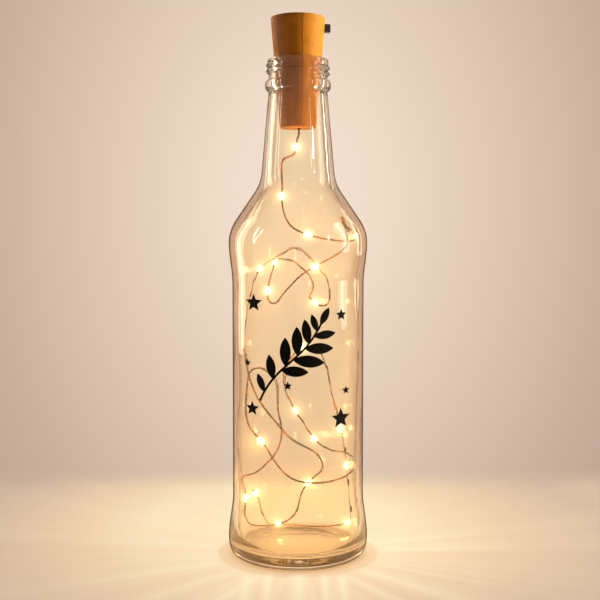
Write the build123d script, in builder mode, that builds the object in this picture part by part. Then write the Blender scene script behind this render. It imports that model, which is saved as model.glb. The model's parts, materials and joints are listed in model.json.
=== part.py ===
"""Cork bottle light: a clear glass bottle, a cork-shaped battery stopper and a string of micro lamps.

Millimetres, +Z up. The origin is the centre of the ring that the bottle stands on.
"""

import math
import os

from build123d import *

os.makedirs("parts", exist_ok=True)

# Driving dimensions of the bottle
BEARING_RADIUS = 24.0
BEARING_WIDTH = 2.4
PUSH_UP = 2.2
HEEL_BULGE = 1.9
HEEL_FULL = 8.0
HEEL_EASE = 19.0
PANEL_RADIUS = 28.15
PANEL_LENGTH = 90.0
SHOULDER_BULGE = 1.5
SHOULDER_EASE = 17.5
SHOULDER_ROUND = 10.3
SHOULDER_INSET = 3.45
CONE_HEIGHT = 11.0
NECK_FLARE = 3.15
NECK_ROUND = 8.6
NECK_BASE_RADIUS = 15.55
NECK_LENGTH = 34.5
BEAD_HEIGHT = 4.4
BEAD_PROUD = 1.5
BARREL_LENGTH = 6.0
LIP_HEIGHT = 2.7
LIP_PROUD = 0.45
LIP_ROUND = 0.9
FINISH_WALL = 2.1
NECK_WALL = 3.0
BODY_WALL = 2.5
CONE_WALL = 3.15
MOUTH_DEPTH = 16.0
FLOOR_HEIGHT = 4.4
FLOOR_CROWN = 1.6
FLOOR_CORNER = 6.4
HEEL_HOLLOW = 1.25

# Driving dimensions of the cork-shaped stopper
STOPPER_LENGTH = 46.7
STOPPER_TOP_RADIUS = 11.6
STOPPER_TIP_RADIUS = 7.8
PLUNGE = 29.1
MOUTH_PLAY = 0.2
SEAM_TURN = 12.0
SHELL_WALL = 1.2
SHELL_FLOOR = 2.0
SHELL_SHELF = 1.2
DECK = 1.6
RIM_ROUND = 0.6
BOSS_RADIUS = 1.3
BOSS_LENGTH = 2.4
PIN_RADIUS = 0.6
PIN_LENGTH = 1.8
PIN_PLAY = 0.1
NAIL_NOTCH_WIDTH = 4.0
NAIL_NOTCH_REACH = 1.6
NAIL_NOTCH_DEPTH = 1.1

# Driving dimensions of the cells and what carries them
CELL_RADIUS = 5.8
CELL_HEIGHT = 5.4
CELL_CAP_RADIUS = 4.7
CELL_CAP_HEIGHT = 0.4
CELLS = 3
CELL_PLAY = 0.1
TRAY_WALL = 0.7
TRAY_LEDGE = 0.8
TRAY_LEDGE_WIDTH = 2.0
CAP_RADIUS = 7.6
CAP_PLAY = 0.15
STRIP = 0.25
STRIP_WIDTH = 2.4
STRIP_DROP = 9.0
LEAF = 0.2
LEAF_WIDTH = 2.0
LEAF_LENGTH = 6.0
SLIDE_PLAY = 0.05
SPRING_ROOM = 5.2
SPRING_STRIP = 0.3
SPRING_WIDTH = 3.0
SPRING_BASE = 7.0
SPRING_TIP = 2.1
SPRING_BEND = 0.8

# Driving dimensions of the circuit board and the slide switch
BOARD_PLACE = 7.3
BOARD = 0.8
BOARD_WIDTH = 6.0
BOARD_LENGTH = 16.0
SWITCH_LENGTH = 6.0
SWITCH_WIDTH = 2.7
SWITCH_BASE = 0.6
SWITCH_CASE = 0.8
SWITCH_SHEET = 0.2
SWITCH_PLAY = 0.1
SWITCH_TRAVEL = 2.0
SLIDER = 0.4
SLIDER_LENGTH = 3.2
KNOB_WIDTH = 2.6
KNOB_HEIGHT = 3.4
KNOB_NECK_WIDTH = 1.4
KNOB_NECK_HEIGHT = 1.6
KNOB_NECK_LENGTH = 0.65
KNOB_REACH = 2.6
KNOB_DROP = 2.1
KNOB_PLAY = 0.2
KNOB_EDGE = 0.3
RESISTOR_LENGTH = 1.6
RESISTOR_WIDTH = 0.8
RESISTOR_HEIGHT = 0.45
SOLDER_RADIUS = 0.6
SOLDER_SIDES = 8

# Driving dimensions of the light string
WIRE = 0.8
WIRE_SIDES = 4
WIRE_PLAY = 0.2
DROP_LENGTH = 3.8
DROP_RADIUS = 1.12
DROP_TIP_WALL = 0.15
DROP_SIDES = 6
CHIP_LENGTH = 1.0
CHIP_WIDTH = 0.6
CHIP_HEIGHT = 0.35
CHIP_PLAY = 0.05
GLAND_RADIUS = 2.0
GLAND_LENGTH = 2.7
GLAND_RECESS = 0.3

# Driving dimensions of the cut-out decals on the label panel
DECAL = 0.12
SPRIG_STEM = 0.9

# Heights and radii that follow
heel_radius = PANEL_RADIUS + HEEL_BULGE
shoulder_radius = PANEL_RADIUS + SHOULDER_BULGE
bearing_in = BEARING_RADIUS - BEARING_WIDTH / 2
bearing_out = BEARING_RADIUS + BEARING_WIDTH / 2
panel_bottom = HEEL_FULL + HEEL_EASE
panel_top = panel_bottom + PANEL_LENGTH
shoulder_full = panel_top + SHOULDER_EASE
cone_bottom = shoulder_full + SHOULDER_ROUND
cone_top = cone_bottom + CONE_HEIGHT
neck_bottom = cone_top + NECK_ROUND
neck_top = neck_bottom + NECK_LENGTH
bead_top = neck_top + BEAD_HEIGHT
barrel_top = bead_top + BARREL_LENGTH
lip_top = barrel_top + LIP_HEIGHT
stopper_tip = lip_top - PLUNGE
stopper_top = stopper_tip + STOPPER_LENGTH
taper = (STOPPER_TOP_RADIUS - STOPPER_TIP_RADIUS) / STOPPER_LENGTH


def stopper_radius(height):
    """Radius of the stopper's tapered side at a height."""
    return STOPPER_TIP_RADIUS + taper * (height - stopper_tip)


mouth_radius = stopper_radius(lip_top) + MOUTH_PLAY
finish_radius = mouth_radius + FINISH_WALL
lip_radius = finish_radius + LIP_PROUD

# The heights along an S-curve where its facets meet, and how many facets each kind of bend has
EASE_SHARES = (0, 0.25, 0.75, 1)
BASE_FACETS = 3
SIDE_FACETS = 2
RIM_FACETS = 2

def toward(start, end, share):
    """The point at a share of the way from start to end."""
    return tuple(s + share * (e - s) for s, e in zip(start, end))


def meeting(a, b, c, d):
    """The point where the line through a and b meets the line through c and d."""
    ab = (b[0] - a[0], b[1] - a[1])
    cd = (d[0] - c[0], d[1] - c[1])
    cross = ab[0] * cd[1] - ab[1] * cd[0]
    along = ((c[0] - a[0]) * cd[1] - (c[1] - a[1]) * cd[0]) / cross
    return (a[0] + along * ab[0], a[1] + along * ab[1])


def corner_bend(start, corner, end, facets):
    """A round that leaves both legs of a corner smoothly, in a few straight facets."""
    points = []
    for step in range(facets + 1):
        share = step / facets
        points.append(toward(toward(start, corner, share), toward(corner, end, share), share))
    Polyline(*points)


def upright_ease(start, end):
    """An S-curve between two radii that is upright at both ends, in a few straight facets."""
    points = []
    for share in EASE_SHARES:
        smooth_share = share * share * (3 - 2 * share)
        points.append((toward(start, end, smooth_share)[0], toward(start, end, share)[1]))
    Polyline(*points)


def body_side(heel, panel, shoulder, cone_inset, neck, neck_end):
    """The side of the body and neck, from the heel up to the end of the neck."""
    cone_low = (shoulder_radius - SHOULDER_INSET - cone_inset, cone_bottom)
    cone_high = (NECK_BASE_RADIUS + NECK_FLARE - cone_inset, cone_top)
    shoulder_corner = meeting(shoulder, (shoulder[0], cone_bottom), cone_low, cone_high)
    neck_corner = meeting(cone_low, cone_high, neck, neck_end)
    upright_ease(heel, (panel, panel_bottom))
    Line((panel, panel_bottom), (panel, panel_top))
    upright_ease((panel, panel_top), shoulder)
    corner_bend(shoulder, shoulder_corner, cone_low, SIDE_FACETS)
    Line(cone_low, cone_high)
    corner_bend(cone_high, neck_corner, neck, SIDE_FACETS)
    Line(neck, neck_end)


def write(part, name):
    """Label a finished piece and write it."""
    part.label = name
    export_step(part, f"parts/{name}.step")


# The glass bottle: bearing ring, heel, label panel, shoulder, neck and finish in one revolved wall
floor_radius = PANEL_RADIUS - BODY_WALL + HEEL_HOLLOW
floor_corner = (floor_radius, FLOOR_HEIGHT)
floor_edge = floor_radius - FLOOR_CORNER
floor_middle = FLOOR_HEIGHT + FLOOR_CROWN
inner_heel = FLOOR_HEIGHT + FLOOR_CORNER + HEEL_HOLLOW
mouth_bottom = lip_top - MOUTH_DEPTH
heel_full = (heel_radius, HEEL_FULL)
bead_radius = finish_radius + BEAD_PROUD
bead_middle = (bead_radius, (neck_top + bead_top) / 2)
lip_edge = lip_radius - LIP_ROUND
lip_shoulder = lip_top - LIP_ROUND
with BuildPart() as bottle:
    with BuildSketch(Plane.XZ):
        with BuildLine():
            corner_bend((0, PUSH_UP), (bearing_in / 2, PUSH_UP), (bearing_in, 0), SIDE_FACETS)
            Line((bearing_in, 0), (bearing_out, 0))
            corner_bend((bearing_out, 0), (heel_radius, 0), heel_full, BASE_FACETS)
            body_side(
                heel=heel_full,
                panel=PANEL_RADIUS,
                shoulder=(shoulder_radius, shoulder_full),
                cone_inset=0,
                neck=(NECK_BASE_RADIUS, neck_bottom),
                neck_end=(finish_radius, neck_top),
            )
            corner_bend((finish_radius, neck_top), (bead_radius, neck_top), bead_middle, RIM_FACETS)
            corner_bend(bead_middle, (bead_radius, bead_top), (finish_radius, bead_top), RIM_FACETS)
            Line((finish_radius, bead_top), (finish_radius, barrel_top))
            Line((finish_radius, barrel_top), (lip_radius, barrel_top + LIP_PROUD))
            Line((lip_radius, barrel_top + LIP_PROUD), (lip_radius, lip_shoulder))
            corner_bend((lip_radius, lip_shoulder), (lip_radius, lip_top), (lip_edge, lip_top), RIM_FACETS)
            Line((lip_edge, lip_top), (mouth_radius + MOUTH_PLAY, lip_top))
            Line((mouth_radius + MOUTH_PLAY, lip_top), (mouth_radius, lip_top - MOUTH_PLAY))
            Line((mouth_radius, lip_top - MOUTH_PLAY), (mouth_radius, mouth_bottom))
            body_side(
                heel=(floor_radius, inner_heel),
                panel=PANEL_RADIUS - BODY_WALL,
                shoulder=(shoulder_radius - BODY_WALL, shoulder_full),
                cone_inset=CONE_WALL,
                neck=(NECK_BASE_RADIUS - NECK_WALL, neck_bottom),
                neck_end=(mouth_radius, mouth_bottom),
            )
            corner_bend((floor_radius, inner_heel), floor_corner, (floor_edge, FLOOR_HEIGHT), BASE_FACETS)
            corner_bend(
                (floor_edge, FLOOR_HEIGHT), (floor_edge / 2, floor_middle), (0, floor_middle), SIDE_FACETS,
            )
            Line((0, floor_middle), (0, PUSH_UP))
        make_face()
    revolve(axis=Axis.Z)
write(bottle.part, "bottle")

# Shares of the panel's radius and length that place each star, with its size as a share of the radius
STAR_SHARES = [
    (-0.643, 0.922, 0.135), (0.629, 0.868, 0.089), (-0.739, 0.646, 0.057), (-0.668, 0.438, 0.112),
    (-0.146, 0.551, 0.069), (0.703, 0.521, 0.064), (0.625, 0.394, 0.153),
]
STAR_INNER_SHARE = 0.46
STAR_WIDTH_SHARE = 0.93
STAR_POINTS = 5

# Shares that shape the sprig: its stem's curve, then where each leaf leaves the stem, its side and length
STEM_SHARES = [(-0.55, 0.478), (-0.32, 0.656), (0.07, 0.656), (0.337, 0.833)]
SPRIG_LEAF_SHARES = [
    (0.1, 1, 0.28), (0.26, 1, 0.36), (0.38, -1, 0.4), (0.44, 1, 0.42), (0.54, -1, 0.46), (0.6, 1, 0.42),
    (0.7, -1, 0.42), (0.76, 1, 0.36), (0.85, -1, 0.32), (0.91, 1, 0.26), (0.98, 0, 0.28),
]
SPRIG_WIDTH_SHARE = 0.19
SPRIG_LEAF_ANGLE = 48.0


def on_panel(across_share, up_share):
    """A place on the flat drawing of the label panel."""
    return (across_share * PANEL_RADIUS, panel_bottom + up_share * PANEL_LENGTH)


def panel_skin(outline):
    """A flat outline, laid on the front of the label panel as a thin skin."""
    with BuildPart() as skin:
        extrude(outline, amount=PANEL_RADIUS + DECAL)
        with BuildSketch(Plane.XY.offset(panel_bottom)):
            Circle(PANEL_RADIUS + DECAL)
            Circle(PANEL_RADIUS, mode=Mode.SUBTRACT)
        extrude(amount=PANEL_LENGTH, mode=Mode.INTERSECT)
    return skin.part


# The star decals
for number, (across_share, up_share, size_share) in enumerate(STAR_SHARES, start=1):
    size = size_share * PANEL_RADIUS
    corners = []
    for step in range(2 * STAR_POINTS):
        reach = size if step % 2 == 0 else size * STAR_INNER_SHARE
        angle = math.pi * step / STAR_POINTS
        corners.append((reach * STAR_WIDTH_SHARE * math.sin(angle), reach * math.cos(angle)))
    with BuildSketch(Plane.XZ) as star:
        with Locations(on_panel(across_share, up_share)):
            Polygon(*corners, align=None)
    write(panel_skin(star.sketch), f"star_decal_{number}")

# The sprig decal: a bent stem with almond leaves along both its sides and one at its tip
with BuildSketch(Plane.XZ) as sprig:
    with BuildLine() as stem:
        Bezier(*[on_panel(*shares) for shares in STEM_SHARES])
    trace(line_width=SPRIG_STEM)
    for along_share, side, length_share in SPRIG_LEAF_SHARES:
        root = stem.line @ along_share
        reach = (stem.line % along_share).rotate(Axis.Z, side * SPRIG_LEAF_ANGLE)
        tip = root + reach * length_share * PANEL_RADIUS
        swell = reach.rotate(Axis.Z, 90) * length_share * SPRIG_WIDTH_SHARE * PANEL_RADIUS
        with BuildLine():
            ThreePointArc(root, (root + tip) / 2 + swell, tip)
            ThreePointArc(tip, (root + tip) / 2 - swell, root)
        make_face()
write(panel_skin(sprig.sketch), "sprig_decal")

# Planes of the stopper, which is turned so that its seam lies a little to the right of the front
turn = math.radians(SEAM_TURN)
across = Vector(math.cos(turn), math.sin(turn), 0)
front = Plane(origin=(0, 0, 0), x_dir=across, z_dir=(math.sin(turn), -math.cos(turn), 0))
seam = Plane(origin=(0, 0, 0), x_dir=(-math.sin(turn), math.cos(turn), 0), z_dir=across)


def level(height):
    """A level plane of the stopper at a height."""
    return Plane(origin=(0, 0, height), x_dir=across, z_dir=(0, 0, 1))


def hollow_radius(height):
    """Radius of the stopper's hollow at a height."""
    return stopper_radius(height) - SHELL_WALL


# Heights inside the stopper, from its top down
deck_bottom = stopper_top - DECK
cells_top = deck_bottom - STRIP
cells_bottom = cells_top - CELLS * CELL_HEIGHT
tray_bottom = cells_bottom - CELL_PLAY - TRAY_LEDGE
shelf_top = tray_bottom - SPRING_ROOM
shelf_bottom = shelf_top - SHELL_SHELF
floor_top = stopper_tip + SHELL_FLOOR
board_top = deck_bottom - SWITCH_PLAY
board_bottom = board_top - BOARD_LENGTH
knob_rest = stopper_top - KNOB_DROP - KNOB_HEIGHT / 2
switch_middle = knob_rest - SWITCH_TRAVEL / 2

# Places across the stopper, from the tray out to the knob
tray_bore = CELL_RADIUS + CELL_PLAY
tray_radius = tray_bore + TRAY_WALL
strip_out = tray_radius + STRIP
board_out = BOARD_PLACE + BOARD
base_out = board_out + SWITCH_BASE
slider_in = base_out + SWITCH_PLAY
slider_out = slider_in + SLIDER
knob_in = slider_out + KNOB_NECK_LENGTH
knob_out = stopper_radius(knob_rest) + KNOB_REACH
lead_place = BOARD_PLACE + BOARD / 2

# Shares that place the seam's bosses and the lead's passage inside the stopper
BOSS_HEIGHT_SHARES = (0.28, 0.35)
BOSS_SEAT_SHARE = 0.7
LEAD_PASSAGE_SHARE = 0.9

boss_spots = []
for low, high, share in zip((floor_top, shelf_top), (shelf_bottom, tray_bottom), BOSS_HEIGHT_SHARES):
    height = low + share * (high - low)
    for side in (-1, 1):
        boss_spots.append((side * (hollow_radius(height) - BOSS_SEAT_SHARE * BOSS_RADIUS), height))

# The round rims of the cork's top and tip
top_rim = [
    (STOPPER_TOP_RADIUS - RIM_ROUND, stopper_top), (STOPPER_TOP_RADIUS, stopper_top),
    (stopper_radius(stopper_top - RIM_ROUND), stopper_top - RIM_ROUND),
]
tip_rim = [
    (stopper_radius(stopper_tip + RIM_ROUND), stopper_tip + RIM_ROUND), (STOPPER_TIP_RADIUS, stopper_tip),
    (STOPPER_TIP_RADIUS - RIM_ROUND, stopper_tip),
]

# The hollow cork before it is split: tapered wall, deck, shelf, floor and their holes
with BuildPart() as cork:
    with BuildSketch(front):
        with BuildLine():
            Polyline(tip_rim[-1], (0, stopper_tip), (0, stopper_top), top_rim[0])
            corner_bend(*top_rim, RIM_FACETS)
            Line(top_rim[-1], tip_rim[0])
            corner_bend(*tip_rim, RIM_FACETS)
        make_face()
    revolve(axis=Axis.Z)
    with BuildSketch(front):
        for low, high in ((floor_top, shelf_bottom), (shelf_top, deck_bottom)):
            with BuildLine():
                Polyline(
                    (0, low), (hollow_radius(low), low), (hollow_radius(high), high), (0, high), close=True,
                )
            make_face()
    revolve(axis=Axis.Z, mode=Mode.SUBTRACT)
    with BuildSketch(level(deck_bottom)):
        Circle(CAP_RADIUS + CAP_PLAY)
    extrude(amount=DECK, mode=Mode.SUBTRACT)
    with BuildSketch(level(stopper_top)):
        with Locations((0, -CAP_RADIUS - CAP_PLAY)):
            Rectangle(NAIL_NOTCH_WIDTH, 2 * NAIL_NOTCH_REACH)
    extrude(amount=-NAIL_NOTCH_DEPTH, mode=Mode.SUBTRACT)
    with BuildSketch(level(stopper_tip)):
        Circle(GLAND_RADIUS + SLIDE_PLAY)
    extrude(amount=SHELL_FLOOR, mode=Mode.SUBTRACT)
    with BuildSketch(level(shelf_bottom)):
        with Locations((lead_place * LEAD_PASSAGE_SHARE, 0)):
            Circle(WIRE)
    extrude(amount=SHELL_SHELF, mode=Mode.SUBTRACT)

# Left half of the cork, with the pins that close the seam
with BuildPart() as shell_left:
    add(cork.part)
    split(bisect_by=seam, keep=Keep.BOTTOM)
    with BuildSketch(seam):
        with Locations(*boss_spots):
            Circle(BOSS_RADIUS)
    extrude(amount=-BOSS_LENGTH)
    with BuildSketch(seam):
        with Locations(*boss_spots):
            Circle(PIN_RADIUS)
    extrude(amount=PIN_LENGTH)
write(shell_left.part, "shell_left")

# Right half of the cork, with the sockets for the pins and the slot for the switch knob
with BuildPart() as shell_right:
    add(cork.part)
    split(bisect_by=seam, keep=Keep.TOP)
    with BuildSketch(seam):
        with Locations(*boss_spots):
            Circle(BOSS_RADIUS)
    extrude(amount=BOSS_LENGTH)
    with BuildSketch(seam):
        with Locations(*boss_spots):
            Circle(PIN_RADIUS + PIN_PLAY)
    extrude(amount=PIN_LENGTH + PIN_PLAY, mode=Mode.SUBTRACT)
    with BuildSketch(seam.offset(board_out)):
        with Locations((0, switch_middle)):
            Rectangle(KNOB_WIDTH + 2 * KNOB_PLAY, KNOB_HEIGHT + SWITCH_TRAVEL + 2 * KNOB_PLAY)
    extrude(amount=STOPPER_TOP_RADIUS, mode=Mode.SUBTRACT)
write(shell_right.part, "shell_right")

# The disc in the deck that the cell tray hangs from
with BuildPart() as tray_cap:
    with BuildSketch(level(deck_bottom)):
        Circle(CAP_RADIUS)
    extrude(amount=DECK)
    chamfer(tray_cap.edges().group_by(Axis.Z)[-1], KNOB_EDGE)
write(tray_cap.part, "tray_cap")

# The tray: a tube with a ledge for the lowest cell, open on one side so that the cells drop in
with BuildPart() as battery_tray:
    with BuildSketch(level(tray_bottom)):
        Circle(tray_radius)
    extrude(amount=deck_bottom - tray_bottom)
    with BuildSketch(level(tray_bottom + TRAY_LEDGE)):
        Circle(tray_bore)
    extrude(amount=deck_bottom - tray_bottom - TRAY_LEDGE, mode=Mode.SUBTRACT)
    with BuildSketch(level(tray_bottom)):
        Circle(tray_bore - TRAY_LEDGE_WIDTH)
    extrude(amount=TRAY_LEDGE, mode=Mode.SUBTRACT)
    with BuildSketch(seam):
        with Locations((0, (tray_bottom + TRAY_LEDGE + cells_top) / 2)):
            Rectangle(2 * tray_bore, cells_top - tray_bottom - TRAY_LEDGE)
    extrude(amount=-tray_radius, mode=Mode.SUBTRACT)
    with BuildSketch(seam):
        with Locations((0, (cells_top + deck_bottom) / 2)):
            Rectangle(STRIP_WIDTH + 2 * SLIDE_PLAY, STRIP)
    extrude(amount=tray_radius, mode=Mode.SUBTRACT)
write(battery_tray.part, "battery_tray")

# The button cells, each a can with a narrower negative cap below
for index in range(CELLS):
    low = cells_bottom + index * CELL_HEIGHT
    with BuildPart() as cell:
        with BuildSketch(level(low)):
            Circle(CELL_CAP_RADIUS)
        extrude(amount=CELL_CAP_HEIGHT)
        with BuildSketch(level(low + CELL_CAP_HEIGHT)):
            Circle(CELL_RADIUS)
        extrude(amount=CELL_HEIGHT - CELL_CAP_HEIGHT)
        chamfer(cell.edges().group_by(Axis.Z)[-1], CELL_CAP_HEIGHT)
    write(cell.part, f"cell_{index + 1}")

# The strip that leads the top cell's pole over the tray's edge and down its outside
with BuildPart() as tray_strip:
    with BuildSketch(front):
        with BuildLine():
            Polyline(
                (-tray_bore / 2, cells_top), (tray_radius, cells_top), (tray_radius, cells_top - STRIP_DROP),
                (strip_out, cells_top - STRIP_DROP), (strip_out, deck_bottom), (-tray_bore / 2, deck_bottom),
                close=True,
            )
        make_face()
    extrude(amount=STRIP_WIDTH / 2, both=True)
write(tray_strip.part, "tray_strip")

# The bowed leaf on the circuit board that the strip slides down against
leaf_middle = cells_top - STRIP_DROP / 2
leaf_foot = BOARD_PLACE - LEAF / 2
with BuildPart() as leaf_contact:
    with BuildSketch(front):
        with BuildLine():
            ThreePointArc(
                (leaf_foot, leaf_middle - LEAF_LENGTH / 2),
                (strip_out + SLIDE_PLAY + LEAF / 2, leaf_middle),
                (leaf_foot, leaf_middle + LEAF_LENGTH / 2),
            )
        trace(line_width=LEAF)
    extrude(amount=LEAF_WIDTH / 2, both=True)
write(leaf_contact.part, "leaf_contact")

# The folded spring strip on the shelf that presses up against the lowest cell
spring_low = shelf_top + SPRING_STRIP / 2
spring_high = cells_bottom - SLIDE_PLAY - SPRING_STRIP / 2
with BuildPart() as spring_contact:
    with BuildSketch(front):
        with BuildLine():
            FilletPolyline(
                (-SPRING_BASE / 2, spring_low),
                (SPRING_BASE / 2, spring_low),
                (-SPRING_TIP / 2, spring_high),
                (-SPRING_TIP * 3 / 2, spring_high - SPRING_TIP / 2),
                radius=SPRING_BEND,
            )
        trace(line_width=SPRING_STRIP)
    extrude(amount=SPRING_WIDTH / 2, both=True)
write(spring_contact.part, "spring_contact")

# The circuit board, upright behind the tray, and what is soldered to it
with BuildPart() as circuit_board:
    with BuildSketch(seam.offset(BOARD_PLACE)):
        with Locations((0, (board_top + board_bottom) / 2)):
            Rectangle(BOARD_WIDTH, BOARD_LENGTH)
    extrude(amount=BOARD)
write(circuit_board.part, "circuit_board")

switch_bottom = switch_middle - SWITCH_LENGTH / 2
resistor_middle = switch_bottom - RESISTOR_LENGTH
with BuildPart() as resistor:
    with BuildSketch(seam.offset(board_out)):
        with Locations((0, resistor_middle)):
            Rectangle(RESISTOR_WIDTH, RESISTOR_LENGTH)
    extrude(amount=RESISTOR_HEIGHT)
write(resistor.part, "resistor")

with BuildPart() as solder_joints:
    with BuildSketch(seam.offset(board_out)):
        with Locations(*[(side * 2 * SOLDER_RADIUS, board_bottom + 2 * SOLDER_RADIUS) for side in (-1, 1)]):
            RegularPolygon(SOLDER_RADIUS, SOLDER_SIDES)
    extrude(amount=SOLDER_RADIUS / 2)
write(solder_joints.part, "solder_joints")

# The slide switch: a moulded base, a sheet case with a window, and the knob that slides in it
with BuildPart() as switch_base:
    with BuildSketch(seam.offset(board_out)):
        with Locations((0, switch_middle)):
            Rectangle(SWITCH_WIDTH, SWITCH_LENGTH)
    extrude(amount=SWITCH_BASE)
write(switch_base.part, "switch_base")

slider_width = SWITCH_WIDTH - 2 * SWITCH_SHEET - 2 * SWITCH_PLAY
with BuildPart() as switch_case:
    with BuildSketch(seam.offset(base_out)):
        with Locations((0, switch_middle)):
            Rectangle(SWITCH_WIDTH, SWITCH_LENGTH)
    extrude(amount=SWITCH_CASE)
    with BuildSketch(seam.offset(base_out)):
        with Locations((0, switch_middle)):
            Rectangle(slider_width + 2 * SWITCH_PLAY, SLIDER_LENGTH + SWITCH_TRAVEL + 2 * SWITCH_PLAY)
    extrude(amount=SWITCH_CASE - SWITCH_SHEET, mode=Mode.SUBTRACT)
    with BuildSketch(seam.offset(base_out)):
        with Locations((0, switch_middle)):
            Rectangle(KNOB_NECK_WIDTH + 2 * SWITCH_PLAY, KNOB_NECK_HEIGHT + SWITCH_TRAVEL + 2 * SWITCH_PLAY)
    extrude(amount=SWITCH_CASE, mode=Mode.SUBTRACT)
write(switch_case.part, "switch_case")

with BuildPart() as switch_knob:
    with BuildSketch(seam.offset(slider_in)):
        with Locations((0, knob_rest)):
            Rectangle(slider_width, SLIDER_LENGTH)
    extrude(amount=SLIDER)
    with BuildSketch(seam.offset(slider_out)):
        with Locations((0, knob_rest)):
            Rectangle(KNOB_NECK_WIDTH, KNOB_NECK_HEIGHT)
    extrude(amount=KNOB_NECK_LENGTH)
    with BuildSketch(seam.offset(knob_in)):
        with Locations((0, knob_rest)):
            Rectangle(KNOB_WIDTH, KNOB_HEIGHT)
    extrude(amount=knob_out - knob_in)
    chamfer(switch_knob.faces().sort_by(SortBy.DISTANCE)[-1].edges(), KNOB_EDGE)
write(switch_knob.part, "switch_knob")

# Route of the light string, chosen by hand from the exit down: it falls through the neck, winds twice
# round the top of the body, loops down the wall to the floor, climbs again and ends near the floor
ROUTE = [
    (0.5, 0.0, 182.9), (0.5, -0.5, 180.5), (-0.5, -1.5, 177.5), (-1.0, -3.0, 172.0), (-3.5, -5.0, 170.5),
    (-6.5, -6.5, 169.3), (-6.5, -7.7, 163.0), (-6.3, -9.0, 158.0), (-6.5, -14.0, 148.5),
    (-4.0, -19.0, 142.0), (0.0, -22.5, 139.0), (8.0, -22.5, 136.5), (14.5, -18.5, 135.5),
    (21.0, -11.5, 135.0), (24.6, -4.5, 136.0), (24.4, 1.5, 139.0), (23.9, 4.4, 140.3), (21.8, 8.3, 142.8),
    (18.9, 5.4, 145.8), (20.3, 0.5, 143.3), (21.0, -5.5, 138.8), (20.5, -11.0, 133.5), (17.0, -16.0, 130.5),
    (11.5, -21.5, 127.5), (2.0, -24.0, 122.5), (-3.0, -23.5, 117.0), (-6.5, -22.0, 113.0),
    (-8.8, -20.6, 109.2), (-12.4, -19.0, 110.6), (-11.6, -16.6, 119.0), (-10.0, -6.0, 124.5),
    (-10.0, 4.0, 127.5), (-6.0, 13.0, 127.5), (-1.5, 19.5, 126.0), (3.0, 23.0, 122.0), (6.5, 23.5, 117.5),
    (6.8, 22.5, 113.5), (4.5, 21.5, 109.5), (10.5, 19.5, 105.5), (14.5, 18.2, 107.5), (15.0, 18.0, 113.0),
    (13.0, 19.0, 119.0), (8.0, 20.5, 125.5), (2.5, 21.5, 131.0), (-2.5, 21.5, 133.0), (-7.0, 21.0, 129.5),
    (-15.0, 18.0, 125.5), (-19.0, 13.0, 120.5), (-21.0, 7.0, 112.5), (-22.5, 2.0, 103.5),
    (-23.0, -2.5, 94.5), (-22.0, -7.0, 86.0), (-20.0, -11.5, 78.5), (-17.0, -15.5, 71.0),
    (-13.0, -19.0, 65.5), (-8.0, -22.0, 60.0), (-3.0, -23.0, 54.0), (3.0, -23.5, 51.0), (7.5, -23.2, 48.5),
    (10.0, -22.5, 44.0), (9.5, -22.0, 40.5), (6.5, -22.0, 38.5), (2.0, -20.5, 33.0), (0.5, -16.0, 27.0),
    (-0.5, -9.0, 20.0), (-4.5, 0.0, 13.5), (-12.5, 9.0, 8.0), (-18.0, 8.0, 8.5), (-21.5, 2.0, 10.5),
    (-23.5, -4.0, 17.0), (-22.5, -7.0, 23.0), (-21.8, -8.6, 28.6), (-23.9, -6.6, 32.6),
    (-22.6, -10.0, 36.0), (-17.0, -17.0, 38.5), (-12.5, -20.5, 43.5), (-8.5, -22.8, 48.5),
    (-6.5, -23.7, 54.0), (-6.5, -24.0, 60.0), (-8.0, -23.6, 66.0), (-8.0, -23.4, 71.5), (-8.0, -23.0, 77.0),
    (-10.5, -22.0, 81.0), (-15.0, -19.0, 83.5), (-19.5, -14.5, 81.5), (-20.5, -12.5, 75.5),
    (-21.0, -12.0, 68.5), (-21.0, -12.5, 62.5), (-19.5, -15.0, 57.5), (-16.5, -18.0, 54.5),
    (-13.0, -19.2, 50.5), (-9.5, -20.6, 44.5), (-5.5, -23.5, 40.0), (-1.0, -24.0, 37.0), (6.0, -24.0, 36.0),
    (12.5, -21.5, 36.0), (18.0, -17.0, 36.5), (22.5, -10.5, 38.0), (24.8, -3.0, 40.5), (24.5, 3.0, 41.5),
    (21.0, 8.0, 42.5), (15.5, 13.5, 41.5), (10.0, 18.0, 43.5), (5.0, 20.5, 48.5), (0.5, 22.0, 55.5),
    (-3.0, 23.0, 60.5), (-6.0, 23.5, 66.5), (-7.0, 23.5, 73.0), (-5.0, 23.5, 80.5), (-0.5, 23.5, 86.5),
    (5.5, 22.5, 88.0), (11.0, 20.5, 85.0), (13.5, 18.5, 79.0), (15.0, 17.0, 72.0), (17.0, 15.0, 64.0),
    (18.5, 13.0, 55.5), (20.0, 11.5, 48.5), (22.0, 9.5, 40.0), (23.0, 8.5, 32.0), (23.5, 7.3, 24.0),
    (24.1, 5.9, 16.5), (24.0, 6.5, 11.0), (21.5, 11.0, 8.5), (17.0, 14.5, 6.5), (10.5, 15.5, 6.0),
    (2.5, 16.0, 6.5), (-5.0, 16.5, 7.0), (-12.0, 15.5, 6.5), (-15.5, 12.0, 11.0), (-17.0, 6.0, 18.5),
    (-17.5, 1.0, 24.0), (-19.5, -3.0, 28.0),
]
# Each lamp sits at the middle of the run that starts at this point of the route
LAMP_RUN_NUMBERS = [2, 7, 10, 14, 23, 28, 30, 37, 46, 61, 65, 70, 89, 102, 104, 109, 115, 117, 121, 130]
# The stretch that gives way when the stopper is drawn: the runs it starts and ends on, and how far along
GIVE_FROM_NUMBER = 5
GIVE_FROM_SHARE = 0.5
GIVE_TO_NUMBER = 7
GIVE_TO_SHARE = 0.2
BEND_SHARE = 0.45


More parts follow.
